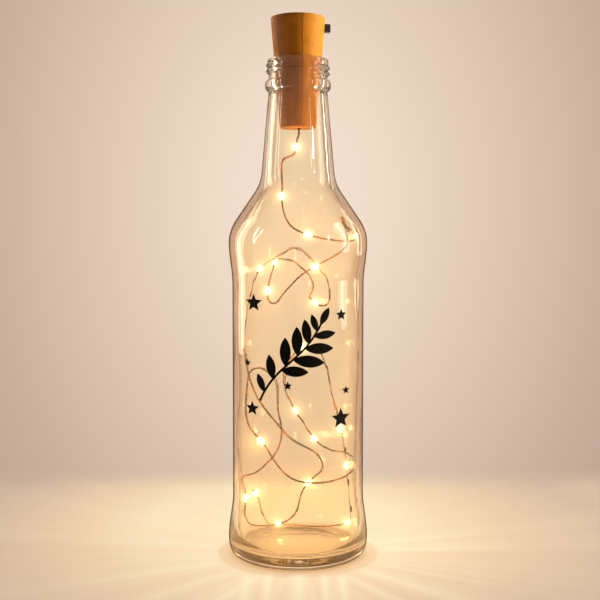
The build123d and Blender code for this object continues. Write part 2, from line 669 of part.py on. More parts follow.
def corner_radii(points):
    """The bend radius at each inner point, as large as its two runs allow."""
    radii = []
    for before, here, after in zip(points, points[1:], points[2:]):
        run_in = Vector(*here) - Vector(*before)
        run_out = Vector(*after) - Vector(*here)
        half_turn = math.radians(run_in.get_angle(run_out)) / 2
        radii.append(BEND_SHARE * min(run_in.length, run_out.length) / math.tan(half_turn))
    return radii


def wire_tube(points, name):
    """A wire along the points, with its bend radii and its volume against its length printed."""
    radii = corner_radii(points)
    with BuildPart() as tube:
        with BuildLine() as path:
            FilletPolyline(*points, radius=radii)
        with BuildSketch(Plane(origin=path.line @ 0, z_dir=path.line % 0)) as section:
            RegularPolygon(WIRE / 2, WIRE_SIDES)
        sweep()
    length = path.wire().length
    expected = section.sketch.area * length
    print(name, "length", round(length, 1), "volume", round(tube.part.volume / expected, 4))
    print(name, "radii", " ".join(f"{radius:.1f}" for radius in radii))
    write(tube.part, name)
    return length


# The route stretches with the height of its exit, which is the stopper's tip
route = [(x, y, z * stopper_tip / ROUTE[0][2]) for x, y, z in ROUTE]
exit_point = route[0]
lead_points = [
    tuple(across * lead_place + Vector(0, 0, board_bottom)),
    tuple(across * lead_place * LEAD_PASSAGE_SHARE + Vector(0, 0, shelf_top)),
    tuple(across * lead_place * LEAD_PASSAGE_SHARE + Vector(WIRE / 2, 0, shelf_bottom - WIRE)),
    (exit_point[0] + GLAND_RADIUS, exit_point[1], floor_top + GLAND_LENGTH * 2),
    (exit_point[0], exit_point[1], floor_top + GLAND_LENGTH),
    exit_point,
]
give_top = toward(route[GIVE_FROM_NUMBER], route[GIVE_FROM_NUMBER + 1], GIVE_FROM_SHARE)
give_bottom = toward(route[GIVE_TO_NUMBER], route[GIVE_TO_NUMBER + 1], GIVE_TO_SHARE)
wire_tube(lead_points, "inner_lead")
string = wire_tube(route[:GIVE_FROM_NUMBER + 1] + [give_top], "drop_wire")
string += wire_tube([give_top] + route[GIVE_FROM_NUMBER + 1:GIVE_TO_NUMBER + 1] + [give_bottom], "neck_wire")
string += wire_tube([give_bottom] + route[GIVE_TO_NUMBER + 1:], "light_wire")
print("string length", round(string, 1))

# The plug of set resin that holds the wire where it leaves the stopper
gland_bottom = stopper_tip + GLAND_RECESS
with BuildPart() as wire_gland:
    with BuildSketch(Plane.XY.offset(gland_bottom)):
        Circle(GLAND_RADIUS)
        with Locations(exit_point[:2]):
            Circle(WIRE / 2 + SLIDE_PLAY, mode=Mode.SUBTRACT)
    extrude(amount=GLAND_LENGTH)
write(wire_gland.part, "wire_gland")


def lamp_plane(run):
    """The plane square to the wire at a lamp."""
    start, end = Vector(*route[run]), Vector(*route[run + 1])
    return Plane(origin=(start + end) / 2, z_dir=(end - start).normalized())


def lamp_chip_sketch(plane, play):
    """The outline of a lamp's chip beside the wire, with room round it."""
    with BuildSketch(plane.offset(-CHIP_LENGTH / 2 - play)) as outline:
        with Locations((WIRE / 2 + WIRE_PLAY + CHIP_HEIGHT / 2, 0)):
            Rectangle(CHIP_HEIGHT + 2 * play, CHIP_WIDTH + 2 * play)
    return outline.sketch


# The drops of clear resin, each a bead that narrows to both ends, with a bore for the wire and a pocket for
# its chip
lamp_bore = WIRE / 2 + WIRE_PLAY
drop_end = DROP_LENGTH / 2 - CHIP_LENGTH
drop_narrowing = DROP_RADIUS - lamp_bore - DROP_TIP_WALL
flat_first = 180 / DROP_SIDES
for number, run in enumerate(LAMP_RUN_NUMBERS, start=1):
    plane = lamp_plane(run)
    with BuildPart() as led:
        with BuildSketch(plane):
            RegularPolygon(DROP_RADIUS, DROP_SIDES, major_radius=False, rotation=flat_first)
        extrude(amount=DROP_LENGTH / 2, both=True)
        ends = led.faces().sort_by(Axis(plane.origin, plane.z_dir))
        for end in (ends[0], ends[-1]):
            chamfer(end.edges(), length=drop_narrowing, length2=drop_end, reference=end)
        with BuildSketch(plane):
            RegularPolygon(lamp_bore, DROP_SIDES, major_radius=False, rotation=flat_first)
        extrude(amount=DROP_LENGTH / 2, both=True, mode=Mode.SUBTRACT)
        extrude(lamp_chip_sketch(plane, CHIP_PLAY), amount=CHIP_LENGTH + 2 * CHIP_PLAY, mode=Mode.SUBTRACT)
    write(led.part, f"led_{number:02d}")

# The chips inside the drops: the top one goes with the stopper, the rest stay in the bottle
for name, runs in (("top_chip", LAMP_RUN_NUMBERS[:1]), ("led_chips", LAMP_RUN_NUMBERS[1:])):
    with BuildPart() as chips:
        for run in runs:
            extrude(lamp_chip_sketch(lamp_plane(run), 0), amount=CHIP_LENGTH)
    write(chips.part, name)
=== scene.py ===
"""Looks of the cork bottle light: glass, cork-look stopper, light string, lamps and studio."""

import json
import math
import random

import bpy
import numpy as np
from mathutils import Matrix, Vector


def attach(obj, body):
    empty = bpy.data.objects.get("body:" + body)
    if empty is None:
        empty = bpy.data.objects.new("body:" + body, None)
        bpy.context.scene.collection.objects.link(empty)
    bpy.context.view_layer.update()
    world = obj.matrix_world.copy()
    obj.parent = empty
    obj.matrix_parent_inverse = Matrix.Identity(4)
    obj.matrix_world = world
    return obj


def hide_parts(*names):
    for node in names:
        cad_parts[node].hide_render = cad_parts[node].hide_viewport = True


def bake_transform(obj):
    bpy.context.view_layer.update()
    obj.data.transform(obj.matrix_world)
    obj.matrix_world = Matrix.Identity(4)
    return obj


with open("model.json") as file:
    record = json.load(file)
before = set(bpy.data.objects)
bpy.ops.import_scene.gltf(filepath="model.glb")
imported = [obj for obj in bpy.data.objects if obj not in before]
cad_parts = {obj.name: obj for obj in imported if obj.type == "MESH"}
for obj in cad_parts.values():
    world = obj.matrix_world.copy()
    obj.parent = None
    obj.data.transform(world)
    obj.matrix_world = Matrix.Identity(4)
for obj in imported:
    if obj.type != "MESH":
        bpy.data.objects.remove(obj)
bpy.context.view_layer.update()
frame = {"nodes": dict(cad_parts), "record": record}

MM = 0.001
scene = bpy.context.scene
scene.view_settings.view_transform = "Standard"


# Camera at the photograph's viewing angle
CAMERA_PLACE = (0.86 * MM, -430 * MM, 134 * MM)
CAMERA_PITCH = math.atan(0.056)
LENS = 60
SENSOR = 36
CLIP_START = 10 * MM


def make_camera():
    data = bpy.data.cameras.new("camera")
    data.lens = LENS
    data.sensor_width = SENSOR
    data.clip_start = CLIP_START
    camera = bpy.data.objects.new("camera", data)
    camera.location = CAMERA_PLACE
    camera.rotation_euler = (math.pi / 2 - CAMERA_PITCH, 0, 0)
    scene.collection.objects.link(camera)
    scene.camera = camera


make_camera()


# Route of the light string, the same points as in the solid, in millimetres here and metres below
ROUTE_MM = [
    (0.5, 0.0, 182.9), (0.5, -0.5, 180.5), (-0.5, -1.5, 177.5), (-1.0, -3.0, 172.0), (-3.5, -5.0, 170.5),
    (-6.5, -6.5, 169.3), (-6.5, -7.7, 163.0), (-6.3, -9.0, 158.0), (-6.5, -14.0, 148.5),
    (-4.0, -19.0, 142.0), (0.0, -22.5, 139.0), (8.0, -22.5, 136.5), (14.5, -18.5, 135.5),
    (21.0, -11.5, 135.0), (24.6, -4.5, 136.0), (24.4, 1.5, 139.0), (23.9, 4.4, 140.3), (21.8, 8.3, 142.8),
    (18.9, 5.4, 145.8), (20.3, 0.5, 143.3), (21.0, -5.5, 138.8), (20.5, -11.0, 133.5), (17.0, -16.0, 130.5),
    (11.5, -21.5, 127.5), (2.0, -24.0, 122.5), (-3.0, -23.5, 117.0), (-6.5, -22.0, 113.0),
    (-8.8, -20.6, 109.2), (-12.4, -19.0, 110.6), (-11.6, -16.6, 119.0), (-10.0, -6.0, 124.5),
    (-10.0, 4.0, 127.5), (-6.0, 13.0, 127.5), (-1.5, 19.5, 126.0), (3.0, 23.0, 122.0), (6.5, 23.5, 117.5),
    (6.8, 22.5, 113.5), (4.5, 21.5, 109.5), (10.5, 19.5, 105.5), (14.5, 18.2, 107.5), (15.0, 18.0, 113.0),
    (13.0, 19.0, 119.0), (8.0, 20.5, 125.5), (2.5, 21.5, 131.0), (-2.5, 21.5, 133.0), (-7.0, 21.0, 129.5),
    (-15.0, 18.0, 125.5), (-19.0, 13.0, 120.5), (-21.0, 7.0, 112.5), (-22.5, 2.0, 103.5),
    (-23.0, -2.5, 94.5), (-22.0, -7.0, 86.0), (-20.0, -11.5, 78.5), (-17.0, -15.5, 71.0),
    (-13.0, -19.0, 65.5), (-8.0, -22.0, 60.0), (-3.0, -23.0, 54.0), (3.0, -23.5, 51.0), (7.5, -23.2, 48.5),
    (10.0, -22.5, 44.0), (9.5, -22.0, 40.5), (6.5, -22.0, 38.5), (2.0, -20.5, 33.0), (0.5, -16.0, 27.0),
    (-0.5, -9.0, 20.0), (-4.5, 0.0, 13.5), (-12.5, 9.0, 8.0), (-18.0, 8.0, 8.5), (-21.5, 2.0, 10.5),
    (-23.5, -4.0, 17.0), (-22.5, -7.0, 23.0), (-21.8, -8.6, 28.6), (-23.9, -6.6, 32.6),
    (-22.6, -10.0, 36.0), (-17.0, -17.0, 38.5), (-12.5, -20.5, 43.5), (-8.5, -22.8, 48.5),
    (-6.5, -23.7, 54.0), (-6.5, -24.0, 60.0), (-8.0, -23.6, 66.0), (-8.0, -23.4, 71.5), (-8.0, -23.0, 77.0),
    (-10.5, -22.0, 81.0), (-15.0, -19.0, 83.5), (-19.5, -14.5, 81.5), (-20.5, -12.5, 75.5),
    (-21.0, -12.0, 68.5), (-21.0, -12.5, 62.5), (-19.5, -15.0, 57.5), (-16.5, -18.0, 54.5),
    (-13.0, -19.2, 50.5), (-9.5, -20.6, 44.5), (-5.5, -23.5, 40.0), (-1.0, -24.0, 37.0), (6.0, -24.0, 36.0),
    (12.5, -21.5, 36.0), (18.0, -17.0, 36.5), (22.5, -10.5, 38.0), (24.8, -3.0, 40.5), (24.5, 3.0, 41.5),
    (21.0, 8.0, 42.5), (15.5, 13.5, 41.5), (10.0, 18.0, 43.5), (5.0, 20.5, 48.5), (0.5, 22.0, 55.5),
    (-3.0, 23.0, 60.5), (-6.0, 23.5, 66.5), (-7.0, 23.5, 73.0), (-5.0, 23.5, 80.5), (-0.5, 23.5, 86.5),
    (5.5, 22.5, 88.0), (11.0, 20.5, 85.0), (13.5, 18.5, 79.0), (15.0, 17.0, 72.0), (17.0, 15.0, 64.0),
    (18.5, 13.0, 55.5), (20.0, 11.5, 48.5), (22.0, 9.5, 40.0), (23.0, 8.5, 32.0), (23.5, 7.3, 24.0),
    (24.1, 5.9, 16.5), (24.0, 6.5, 11.0), (21.5, 11.0, 8.5), (17.0, 14.5, 6.5), (10.5, 15.5, 6.0),
    (2.5, 16.0, 6.5), (-5.0, 16.5, 7.0), (-12.0, 15.5, 6.5), (-15.5, 12.0, 11.0), (-17.0, 6.0, 18.5),
    (-17.5, 1.0, 24.0), (-19.5, -3.0, 28.0),
]
ROUTE = [Vector(point) * MM for point in ROUTE_MM]
LAMP_RUNS = [2, 7, 10, 14, 23, 28, 30, 37, 46, 61, 65, 70, 89, 102, 104, 109, 115, 117, 121, 130]


# Shader helpers
NOISE_ROUGHNESS = 0.55
GRAIN_STRENGTH = 0.15
GRAIN_DEPTH = 0.05 * MM
GRAIN_SPREAD = 0.12


def grey(level):
    return (level, level, level)


def new_material(name):
    material = bpy.data.materials.new(name)
    material.use_nodes = True
    nodes = material.node_tree.nodes
    nodes.clear()
    output = nodes.new("ShaderNodeOutputMaterial")
    return material, nodes, material.node_tree.links, output


def principled(nodes, color, roughness, metallic=0.0, **sockets):
    shader = nodes.new("ShaderNodeBsdfPrincipled")
    shader.inputs["Base Color"].default_value = (*color, 1)
    shader.inputs["Roughness"].default_value = roughness
    shader.inputs["Metallic"].default_value = metallic
    for name, value in sockets.items():
        shader.inputs[name.replace("_", " ")].default_value = value
    return shader


def noise(nodes, links, scale, detail=4.0, stretch=(1, 1, 1)):
    """A noise texture in the frame's own metres."""
    place = nodes.new("ShaderNodeTexCoord")
    mapping = nodes.new("ShaderNodeMapping")
    mapping.inputs["Scale"].default_value = stretch
    texture = nodes.new("ShaderNodeTexNoise")
    texture.inputs["Scale"].default_value = scale
    texture.inputs["Detail"].default_value = detail
    texture.inputs["Roughness"].default_value = NOISE_ROUGHNESS
    links.new(place.outputs["Object"], mapping.inputs["Vector"])
    links.new(mapping.outputs["Vector"], texture.inputs["Vector"])
    return texture.outputs["Fac"]


def ramp(nodes, links, source, stops):
    """A colour ramp from (position, colour) stops."""
    node = nodes.new("ShaderNodeValToRGB")
    elements = node.color_ramp.elements
    while len(elements) < len(stops):
        elements.new(0.5)
    for element, (position, color) in zip(elements, stops):
        element.position = position
        element.color = (*color, 1)
    links.new(source, node.inputs["Fac"])
    return node.outputs["Color"]


def bump(nodes, links, height, strength, distance):
    node = nodes.new("ShaderNodeBump")
    node.inputs["Strength"].default_value = strength
    node.inputs["Distance"].default_value = distance
    links.new(height, node.inputs["Height"])
    return node.outputs["Normal"]


def maths(nodes, links, operation, first, second=None):
    """A sum or other step on one or two sockets or plain numbers."""
    node = nodes.new("ShaderNodeMath")
    node.operation = operation
    for socket, value in zip(node.inputs, (first, second)):
        if isinstance(value, (int, float)):
            socket.default_value = value
        elif value is not None:
            links.new(value, socket)
    return node.outputs["Value"]


def plain_shader(nodes, kind, color):
    """The output of a shader that has a colour and nothing else."""
    node = nodes.new(kind)
    node.inputs["Color"].default_value = (*color, 1)
    return node.outputs[0]


def mix_shaders(nodes, links, share, first, second):
    """From the first shader to the second as the share goes from 0 to 1."""
    node = nodes.new("ShaderNodeMixShader")
    links.new(share, node.inputs["Fac"])
    links.new(first, node.inputs[1])
    links.new(second, node.inputs[2])
    return node.outputs["Shader"]


def mix_colors(nodes, links, factor, blend_type="MIX"):
    """A colour mix whose factor is a socket or a plain number."""
    node = nodes.new("ShaderNodeMix")
    node.data_type = "RGBA"
    node.blend_type = blend_type
    if isinstance(factor, float):
        node.inputs["Factor"].default_value = factor
    else:
        links.new(factor, node.inputs["Factor"])
    return node


def frame_axes(nodes, links):
    """The X, Y and Z of the frame in metres."""
    place = nodes.new("ShaderNodeTexCoord")
    split = nodes.new("ShaderNodeSeparateXYZ")
    links.new(place.outputs["Object"], split.inputs["Vector"])
    return split.outputs


def unscattered_ray(nodes, links):
    """1 for the rays that no dull surface has scattered, since a scattered ray only lights that surface."""
    path = nodes.new("ShaderNodeLightPath")
    return maths(nodes, links, "LESS_THAN", path.outputs["Diffuse Depth"], 0.5)


def looking_ray(nodes, links):
    """1 for the rays that look at a surface directly, in a reflection or through glass."""
    path = nodes.new("ShaderNodeLightPath")
    first = maths(nodes, links, "MAXIMUM", path.outputs["Is Camera Ray"], path.outputs["Is Glossy Ray"])
    looking = maths(nodes, links, "MAXIMUM", first, path.outputs["Is Transmission Ray"])
    return maths(nodes, links, "MULTIPLY", looking, unscattered_ray(nodes, links))


def glass_material():
    """Clear glass, tinted warm, with a slight orange haze, which lets shadow rays through to light what is
    outside. The warm colour of the glass and of its haze is partly painted light for the lamps' glow
    inside.

    Its grazing edges are darkened in colour and mixed with a dull dark shader by Layer Weight. That painted
    dark outline stands for the dark surroundings that thick glass bends into view, which this pale studio
    doesn't have.
    """
    material, nodes, links, output = new_material("flint_glass")
    shader = principled(nodes, (0.99, 0.93, 0.79), 0.0, IOR=1.52)
    shader.inputs["Transmission Weight"].default_value = 1.0
    facing = nodes.new("ShaderNodeLayerWeight")
    facing.inputs["Blend"].default_value = 0.5
    # Painted dark edge: the colour goes from a pale warm tint to near black where the glass is seen at a
    # grazing angle
    tint_and_painted_edge = ramp(nodes, links, facing.outputs["Facing"], [
        (0.0, (1.0, 0.955, 0.83)), (0.62, (1.0, 0.94, 0.80)),
        (0.78, (0.62, 0.44, 0.28)), (0.90, (0.12, 0.06, 0.02)),
    ])
    links.new(tint_and_painted_edge, shader.inputs["Base Color"])
    wave = noise(nodes, links, 140, detail=2, stretch=(1, 1, 0.4))
    links.new(bump(nodes, links, wave, 0.3, 0.4 * MM), shader.inputs["Normal"])

    # A haze that thins towards the neck. The lamps light it, and its orange colour adds painted warm glow
    # on top
    height = maths(nodes, links, "MULTIPLY", frame_axes(nodes, links)["Z"], 5.0)
    haze = ramp(nodes, links, height, [(0.0, grey(0.036)), (0.65, grey(0.026)), (0.82, grey(0.003))])
    veil = plain_shader(nodes, "ShaderNodeBsdfTranslucent", (1.0, 0.66, 0.30))
    hazy = mix_shaders(nodes, links, haze, shader.outputs["BSDF"], veil)

    # Painted dark outline: a dull dark shader mixed in where the glass is seen at a grazing angle
    grazing = ramp(nodes, links, facing.outputs["Facing"], [(0.76, grey(0)), (0.87, grey(0.92))])
    rim = plain_shader(nodes, "ShaderNodeBsdfDiffuse", (0.045, 0.022, 0.008))
    edged = mix_shaders(nodes, links, grazing, hazy, rim)

    path = nodes.new("ShaderNodeLightPath")
    clear = plain_shader(nodes, "ShaderNodeBsdfTransparent", (0.97, 0.93, 0.86))
    lit = mix_shaders(nodes, links, path.outputs["Is Shadow Ray"], edged, clear)
    links.new(lit, output.inputs["Surface"])
    return material


def cork_material():
    """Moulded plastic with a cork look: orange brown, mottled, with fine grain and dark pits."""
    material, nodes, links, output = new_material("cork_look_plastic")
    shader = principled(nodes, (0.5, 0.2, 0.05), 0.55, Specular_IOR_Level=0.22)
    mottle = noise(nodes, links, 300, detail=6, stretch=(1, 1, 0.6))
    color = ramp(nodes, links, mottle, [(0.25, (0.42, 0.145, 0.006)), (0.5, (0.54, 0.20, 0.010)),
                                        (0.75, (0.62, 0.25, 0.016))])
    pits = noise(nodes, links, 900, detail=1, stretch=(1, 1, 0.28))
    pit = ramp(nodes, links, pits, [(0.22, (0.14, 0.05, 0.006)), (0.27, (1, 1, 1))])
    blend = mix_colors(nodes, links, 0.8, "MULTIPLY")
    links.new(color, blend.inputs["A"])
    links.new(pit, blend.inputs["B"])
    links.new(blend.outputs["Result"], shader.inputs["Base Color"])
    grain = noise(nodes, links, 2200, detail=3)
    links.new(bump(nodes, links, grain, 0.3, 0.1 * MM), shader.inputs["Normal"])
    links.new(shader.outputs["BSDF"], output.inputs["Surface"])
    return material


def grained_material(name, color, roughness, metallic=0.0, scale=1500, **sockets):
    """A material with a slight shift of colour and a fine grain in its surface."""
    material, nodes, links, output = new_material(name)
    shader = principled(nodes, color, roughness, metallic, **sockets)
    grain = noise(nodes, links, scale, detail=3)
    low = tuple(channel * (1 - GRAIN_SPREAD) for channel in color)
    high = tuple(min(1.0, channel * (1 + GRAIN_SPREAD)) for channel in color)
    links.new(ramp(nodes, links, grain, [(0.3, low), (0.7, high)]), shader.inputs["Base Color"])
    links.new(bump(nodes, links, grain, GRAIN_STRENGTH, GRAIN_DEPTH), shader.inputs["Normal"])
    links.new(shader.outputs["BSDF"], output.inputs["Surface"])
    return material


def lit_material(name, color, roughness, glow, strength):
    """A lamp's resin or chip, which glows warm all through."""
    material, nodes, links, output = new_material(name)
    shader = principled(nodes, color, roughness)
    shader.inputs["Emission Color"].default_value = (*glow, 1)
    shader.inputs["Emission Strength"].default_value = strength
    links.new(shader.outputs["BSDF"], output.inputs["Surface"])
    return material


def wire_material():
    """Enamelled copper, near black to brown at random along its length, with orange patches at random
    places that are painted warm reflections of the lamps.
    """
    material, nodes, links, output = new_material("enamelled_copper")
    shader = principled(nodes, (0.2, 0.07, 0.01), 0.34, 0.35)
    tone_and_painted_glow = noise(nodes, links, 230, detail=2)
    # Painted light: the orange end of this ramp stands for the lamps' warm reflections on the wire
    links.new(ramp(nodes, links, tone_and_painted_glow, [(0.40, (0.035, 0.012, 0.002)), (0.50, (0.20, 0.062, 0.006)),
                                        (0.60, (0.62, 0.20, 0.012))]), shader.inputs["Base Color"])
    grain = noise(nodes, links, 2200, detail=3)
    links.new(bump(nodes, links, grain, GRAIN_STRENGTH, GRAIN_DEPTH), shader.inputs["Normal"])
    links.new(shader.outputs["BSDF"], output.inputs["Surface"])
    return material


GLASS = glass_material()
CORK = cork_material()
VINYL = grained_material("black_vinyl", (0.004, 0.004, 0.004), 0.55, scale=900, Specular_IOR_Level=0.08)
COPPER = wire_material()
RESIN = lit_material("lit_resin", (1.0, 0.80, 0.45), 0.12, (1.0, 0.74, 0.34), 6.0)
CHIP = lit_material("lit_chip", (1.0, 0.85, 0.4), 0.4, (1.0, 0.75, 0.4), 30.0)
BLACK = grained_material("black_plastic", (0.018, 0.018, 0.018), 0.32, scale=2600)
PALE = grained_material("natural_plastic", (0.75, 0.73, 0.66), 0.45)
STEEL = grained_material("nickel_steel", (0.62, 0.61, 0.58), 0.25, metallic=1.0, scale=3200)
BRASS = grained_material("sprung_brass", (0.72, 0.52, 0.22), 0.25, metallic=1.0, scale=3000)
BOARD = grained_material("board_laminate", (0.03, 0.16, 0.06), 0.35, scale=1800)
SOLDER = grained_material("solder", (0.7, 0.7, 0.7), 0.3, metallic=1.0)
GLUE = grained_material("set_resin", (0.75, 0.62, 0.40), 0.2)

NODE_MATERIALS = {
    "cork_plastic": CORK, "black_vinyl": VINYL, "copper_wire": COPPER, "clear_resin": RESIN,
    "lamp_chip": CHIP, "black_plastic": BLACK, "pale_plastic": PALE, "steel_sheet": STEEL,
    "cell_steel": STEEL, "brass_strip": BRASS, "board_laminate": BOARD, "black_ceramic": BLACK,
    "solder": SOLDER, "set_resin": GLUE, "clear_glass": GLASS,
}


def dress_nodes():
    """Every carried-over solid gets the material of its slot."""
    for row in frame["record"]["subparts"]:
        obj = frame["nodes"][row["node"]]
        obj.data.materials.clear()
        obj.data.materials.append(NODE_MATERIALS[row["material_slot"]])


dress_nodes()


def add_mesh(name, vertices, faces, material, smooth=True):
    mesh = bpy.data.meshes.new(name)
    mesh.from_pydata([tuple(v) for v in vertices], [], faces)
    mesh.validate()
    mesh.materials.append(material)
    if smooth:
        mesh.polygons.foreach_set("use_smooth", [True] * len(mesh.polygons))
    obj = bpy.data.objects.new(name, mesh)
    scene.collection.objects.link(obj)
    return obj


# The bottle's outline, from the same sizes as its solid
BEARING_RADIUS = 24.0 * MM
BEARING_WIDTH = 2.4 * MM
PUSH_UP = 2.2 * MM
HEEL_BULGE = 1.9 * MM
HEEL_FULL = 8.0 * MM
HEEL_EASE = 19.0 * MM
PANEL_RADIUS = 28.15 * MM
PANEL_LENGTH = 90.0 * MM
SHOULDER_BULGE = 1.5 * MM
SHOULDER_EASE = 17.5 * MM
SHOULDER_ROUND = 10.3 * MM
SHOULDER_INSET = 3.45 * MM
CONE_HEIGHT = 11.0 * MM
NECK_FLARE = 3.15 * MM
NECK_ROUND = 8.6 * MM
NECK_BASE_RADIUS = 15.55 * MM
NECK_LENGTH = 34.5 * MM
BEAD_HEIGHT = 4.4 * MM
BEAD_PROUD = 1.5 * MM
BARREL_LENGTH = 6.0 * MM
LIP_HEIGHT = 2.7 * MM
LIP_PROUD = 0.45 * MM
LIP_ROUND = 0.9 * MM
NECK_WALL = 3.0 * MM
BODY_WALL = 2.5 * MM
CONE_WALL = 3.15 * MM
MOUTH_DEPTH = 16.0 * MM
MOUTH_RADIUS = 10.37 * MM
FINISH_RADIUS = 12.47 * MM
MOUTH_EDGE = 0.2 * MM
FLOOR_HEIGHT = 4.4 * MM
FLOOR_CROWN = 1.6 * MM
FLOOR_CORNER = 6.4 * MM
HEEL_HOLLOW = 1.25 * MM

heel_radius = PANEL_RADIUS + HEEL_BULGE
shoulder_radius = PANEL_RADIUS + SHOULDER_BULGE
bearing_in = BEARING_RADIUS - BEARING_WIDTH / 2
bearing_out = BEARING_RADIUS + BEARING_WIDTH / 2
panel_bottom = HEEL_FULL + HEEL_EASE
panel_top = panel_bottom + PANEL_LENGTH
shoulder_full = panel_top + SHOULDER_EASE
cone_bottom = shoulder_full + SHOULDER_ROUND
cone_top = cone_bottom + CONE_HEIGHT
neck_bottom = cone_top + NECK_ROUND
neck_top = neck_bottom + NECK_LENGTH
bead_top = neck_top + BEAD_HEIGHT
barrel_top = bead_top + BARREL_LENGTH
lip_top = barrel_top + LIP_HEIGHT
lip_radius = FINISH_RADIUS + LIP_PROUD


def toward(start, end, share):
    return tuple(s + share * (e - s) for s, e in zip(start, end))


def meeting(a, b, c, d):
    ab = (b[0] - a[0], b[1] - a[1])
    cd = (d[0] - c[0], d[1] - c[1])
    cross = ab[0] * cd[1] - ab[1] * cd[0]
    along = ((c[0] - a[0]) * cd[1] - (c[1] - a[1]) * cd[0]) / cross
    return (a[0] + along * ab[0], a[1] + along * ab[1])


def corner_bend(start, corner, end, steps=12):
    """A round that leaves both legs of a corner smoothly."""
    return [toward(toward(start, corner, step / steps), toward(corner, end, step / steps), step / steps)
            for step in range(steps)]


def straight(start, end, steps=1):
    return [toward(start, end, step / steps) for step in range(steps)]


def upright_ease(start, end, steps=16):
    """An S-curve between two radii that is upright at both ends."""
    points = []
    for step in range(steps):
        share = step / steps
        smooth = share * share * (3 - 2 * share)
        points.append((toward(start, end, smooth)[0], toward(start, end, share)[1]))
    return points


def body_side(heel, panel, shoulder, cone_inset, neck, neck_end):
    cone_low = (shoulder_radius - SHOULDER_INSET - cone_inset, cone_bottom)
    cone_high = (NECK_BASE_RADIUS + NECK_FLARE - cone_inset, cone_top)
    shoulder_corner = meeting(shoulder, (shoulder[0], cone_bottom), cone_low, cone_high)
    neck_corner = meeting(cone_low, cone_high, neck, neck_end)
    return (upright_ease(heel, (panel, panel_bottom))
            + straight((panel, panel_bottom), (panel, panel_top), 30)
            + upright_ease((panel, panel_top), shoulder)
            + corner_bend(shoulder, shoulder_corner, cone_low)
            + straight(cone_low, cone_high, 6)
            + corner_bend(cone_high, neck_corner, neck)
            + straight(neck, neck_end, 14))


def outer_outline():
    """From the middle of the push-up, under the base and up the outside to the lip's top."""
    bead = FINISH_RADIUS + BEAD_PROUD
    bead_middle = (bead, (neck_top + bead_top) / 2)
    heel_full = (heel_radius, HEEL_FULL)
    lip_corner = (lip_radius, lip_top)
    points = corner_bend((0, PUSH_UP), (bearing_in / 2, PUSH_UP), (bearing_in, 0))
    points += straight((bearing_in, 0), (bearing_out, 0), 4)
    points += corner_bend((bearing_out, 0), (heel_radius, 0), heel_full, 20)
    points += body_side(heel_full, PANEL_RADIUS, (shoulder_radius, shoulder_full), 0,
                        (NECK_BASE_RADIUS, neck_bottom), (FINISH_RADIUS, neck_top))
    points += corner_bend((FINISH_RADIUS, neck_top), (bead, neck_top), bead_middle, 8)
    points += corner_bend(bead_middle, (bead, bead_top), (FINISH_RADIUS, bead_top), 8)
    points += straight((FINISH_RADIUS, bead_top), (FINISH_RADIUS, barrel_top), 26)
    points += straight((FINISH_RADIUS, barrel_top), (lip_radius, barrel_top + LIP_PROUD), 2)
    points += straight((lip_radius, barrel_top + LIP_PROUD), (lip_radius, lip_top - LIP_ROUND), 6)
    points += corner_bend((lip_radius, lip_top - LIP_ROUND), lip_corner,
                          (lip_radius - LIP_ROUND, lip_top), 8)
    return points


def inner_outline():
    """From the lip's top down the inside to the middle of the floor."""
    floor_radius = PANEL_RADIUS - BODY_WALL + HEEL_HOLLOW
    floor_edge = floor_radius - FLOOR_CORNER
    inner_heel = FLOOR_HEIGHT + FLOOR_CORNER + HEEL_HOLLOW
    mouth_bottom = lip_top - MOUTH_DEPTH
    side = body_side((floor_radius, inner_heel), PANEL_RADIUS - BODY_WALL,
                     (shoulder_radius - BODY_WALL, shoulder_full), CONE_WALL,
                     (NECK_BASE_RADIUS - NECK_WALL, neck_bottom), (MOUTH_RADIUS, mouth_bottom))
    points = straight((lip_radius - LIP_ROUND, lip_top), (MOUTH_RADIUS + MOUTH_EDGE, lip_top), 3)
    points += straight((MOUTH_RADIUS + MOUTH_EDGE, lip_top), (MOUTH_RADIUS, lip_top - MOUTH_EDGE), 1)
    points += straight((MOUTH_RADIUS, lip_top - MOUTH_EDGE), (MOUTH_RADIUS, mouth_bottom), 8)
    points += [(MOUTH_RADIUS, mouth_bottom)] + side[::-1]
    floor_round = corner_bend((floor_radius, inner_heel), (floor_radius, FLOOR_HEIGHT),
                              (floor_edge, FLOOR_HEIGHT))
    points += floor_round[1:]
    points += corner_bend((floor_edge, FLOOR_HEIGHT), (floor_edge / 2, FLOOR_HEIGHT + FLOOR_CROWN),
                          (0, FLOOR_HEIGHT + FLOOR_CROWN))
    points += [(0, FLOOR_HEIGHT + FLOOR_CROWN)]
    return points


THREAD_PITCH = 2.45 * MM
THREAD_LOW = 205.95 * MM
THREAD_PROUD = 1.1 * MM
THREAD_HALF_WIDTH = 1.2 * MM
THREAD_START = -0.4 * math.pi
THREAD_END = 3.5 * math.pi
THREAD_FADE = 0.3 * math.pi
KNURLS = 132
KNURL_DEPTH = 0.35 * MM
KNURL_REACH = 2.2 * MM
WAVE_DEPTH = 0.16 * MM
# Slow waves of the glass's inside: waves round the bottle, radians per metre up it, start and share
WAVES = [(3, 90, 0.0, 1.0), (5, -60, 1.3, 0.7), (2, 150, 0.4, 0.5)]
WAVE_PEAK = 2.2
BOTTLE_SEGMENTS = 528


def thread_rise(angle, height):
    """How far the screw thread stands out of the finish at an angle and height."""
    rise = 0.0
    for turn in (-1, 0, 1):
        along = angle + 2 * math.pi * turn
        if THREAD_START < along < THREAD_END:
            off = abs(height - THREAD_LOW - THREAD_PITCH * along / (2 * math.pi)) / THREAD_HALF_WIDTH
            fade = min(1.0, (along - THREAD_START) / THREAD_FADE, (THREAD_END - along) / THREAD_FADE)
            if off < 1:
                rise = max(rise, THREAD_PROUD * fade * math.cos(off * math.pi / 2) ** 1.5)
    return rise


